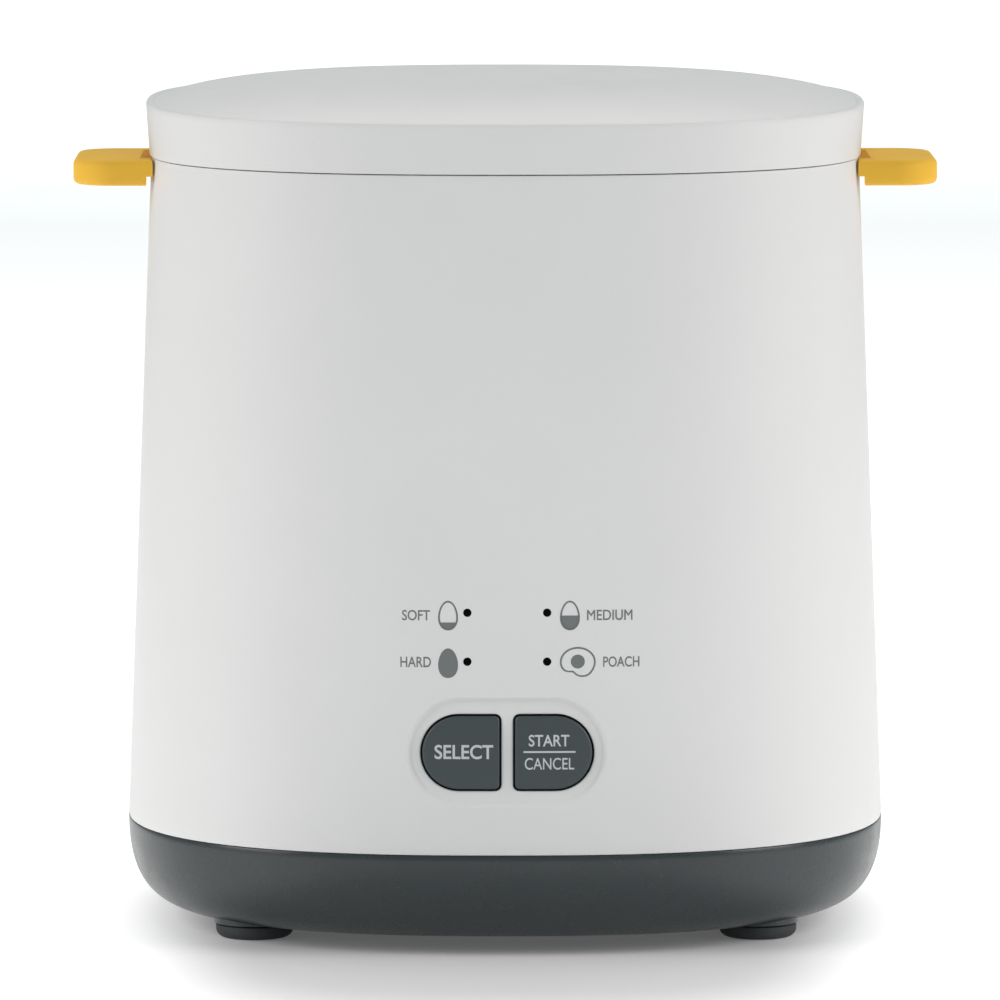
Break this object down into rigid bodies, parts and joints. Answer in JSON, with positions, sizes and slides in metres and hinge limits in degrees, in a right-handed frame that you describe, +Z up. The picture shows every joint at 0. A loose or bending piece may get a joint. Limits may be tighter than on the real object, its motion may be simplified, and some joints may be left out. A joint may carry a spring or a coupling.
{
  "type": "egg cooker",
  "caption": "Oval countertop egg cooker: white tapered body on a dark base, lift-off domed lid, lift-out yellow egg rack, poaching tray and push buttons.",
  "frame": {"origin": "on the surface that the feet stand on, at the middle of the overall box in plan", "axes": "+X to the right along the handles, +Y to the rear, +Z up; the control panel faces -Y"},
  "size_m": [0.2022, 0.164, 0.1974],
  "materials": {
    "shell": "satin white moulded plastic",
    "base": "slate grey satin moulded plastic",
    "liner": "light grey heat-resistant plastic",
    "buttons": "slate grey moulded plastic with printed words",
    "switches": "black moulded plastic",
    "handles": "amber yellow moulded plastic",
    "tray": "dark non-stick surface",
    "rubber": "matt dark rubber",
    "silicone": "translucent grey silicone",
    "steel": "brushed stainless steel",
    "aluminium": "plain sheet aluminium",
    "board": "green solder mask",
    "light": "smoked clear plastic",
    "led": "clear package",
    "wire": "silicone wire jacket",
    "terminal": "natural nylon",
    "capacitor": "yellow film capacitor case"
  },
  "bodies": {
    "root": {"body_shell": "shell", "base_housing": "base", "chamber_liner": "liner", "select_switch": "switches", "start_cancel_switch": "switches", "button_guide": "switches", "relay": "switches", "thermostat": "switches", "foot_1": "rubber", "foot_2": "rubber", "foot_3": "rubber", "foot_4": "rubber", "cord_gland": "rubber", "plate_gasket": "silicone", "heating_plate": "steel", "heating_element": "steel", "thermal_fuse": "steel", "plate_screw_1": "steel", "plate_screw_2": "steel", "plate_screw_3": "steel", "plate_screw_4": "steel", "base_screw_1": "steel", "base_screw_2": "steel", "base_screw_3": "steel", "base_screw_4": "steel", "button_guide_screw_left": "steel", "button_guide_screw_right": "steel", "power_board_screw_left": "steel", "power_board_screw_right": "steel", "control_board_screw_left_bottom": "steel", "control_board_screw_left_top": "steel", "control_board_screw_right_bottom": "steel", "control_board_screw_right_top": "steel", "heat_shield": "aluminium", "control_board": "board", "power_board": "board", "soft_light_pipe": "light", "hard_light_pipe": "light", "medium_light_pipe": "light", "poach_light_pipe": "light", "soft_led": "led", "hard_led": "led", "medium_led": "led", "poach_led": "led", "heater_lead_left": "wire", "heater_lead_right": "wire", "ribbon_cable": "wire", "terminal_block": "terminal", "filter_capacitor": "capacitor"},
    "egg_rack": {"egg_rack": "handles"},
    "poaching_tray": {"poaching_tray": "tray"},
    "lid": {"lid_cover": "shell", "lid_inner_panel": "liner"},
    "select_button": {"select_button": "buttons", "select_switch_plunger": "switches"},
    "start_cancel_button": {"start_cancel_button": "buttons", "start_cancel_switch_plunger": "switches"}
  },
  "joints": [
    {"name": "egg_rack_lift", "type": "slide", "parent": "root", "child": "egg_rack", "axis": [0, 0, 1], "range_m": [0, 0.1]},
    {"name": "poaching_tray_lift", "type": "slide", "parent": "egg_rack", "child": "poaching_tray", "axis": [0, 0, 1], "range_m": [0, 0.06]},
    {"name": "lid_lift", "type": "slide", "parent": "poaching_tray", "child": "lid", "axis": [0, 0, 1], "range_m": [0, 0.05]},
    {"name": "select_press", "type": "slide", "parent": "root", "child": "select_button", "axis": [0, 0.9994, -0.035], "range_m": [0, 0.001], "stiffness_N_per_m": 300, "springref_m": -0.002},
    {"name": "start_cancel_press", "type": "slide", "parent": "root", "child": "start_cancel_button", "axis": [0, 0.9994, -0.035], "range_m": [0, 0.001], "stiffness_N_per_m": 300, "springref_m": -0.002}
  ]
}
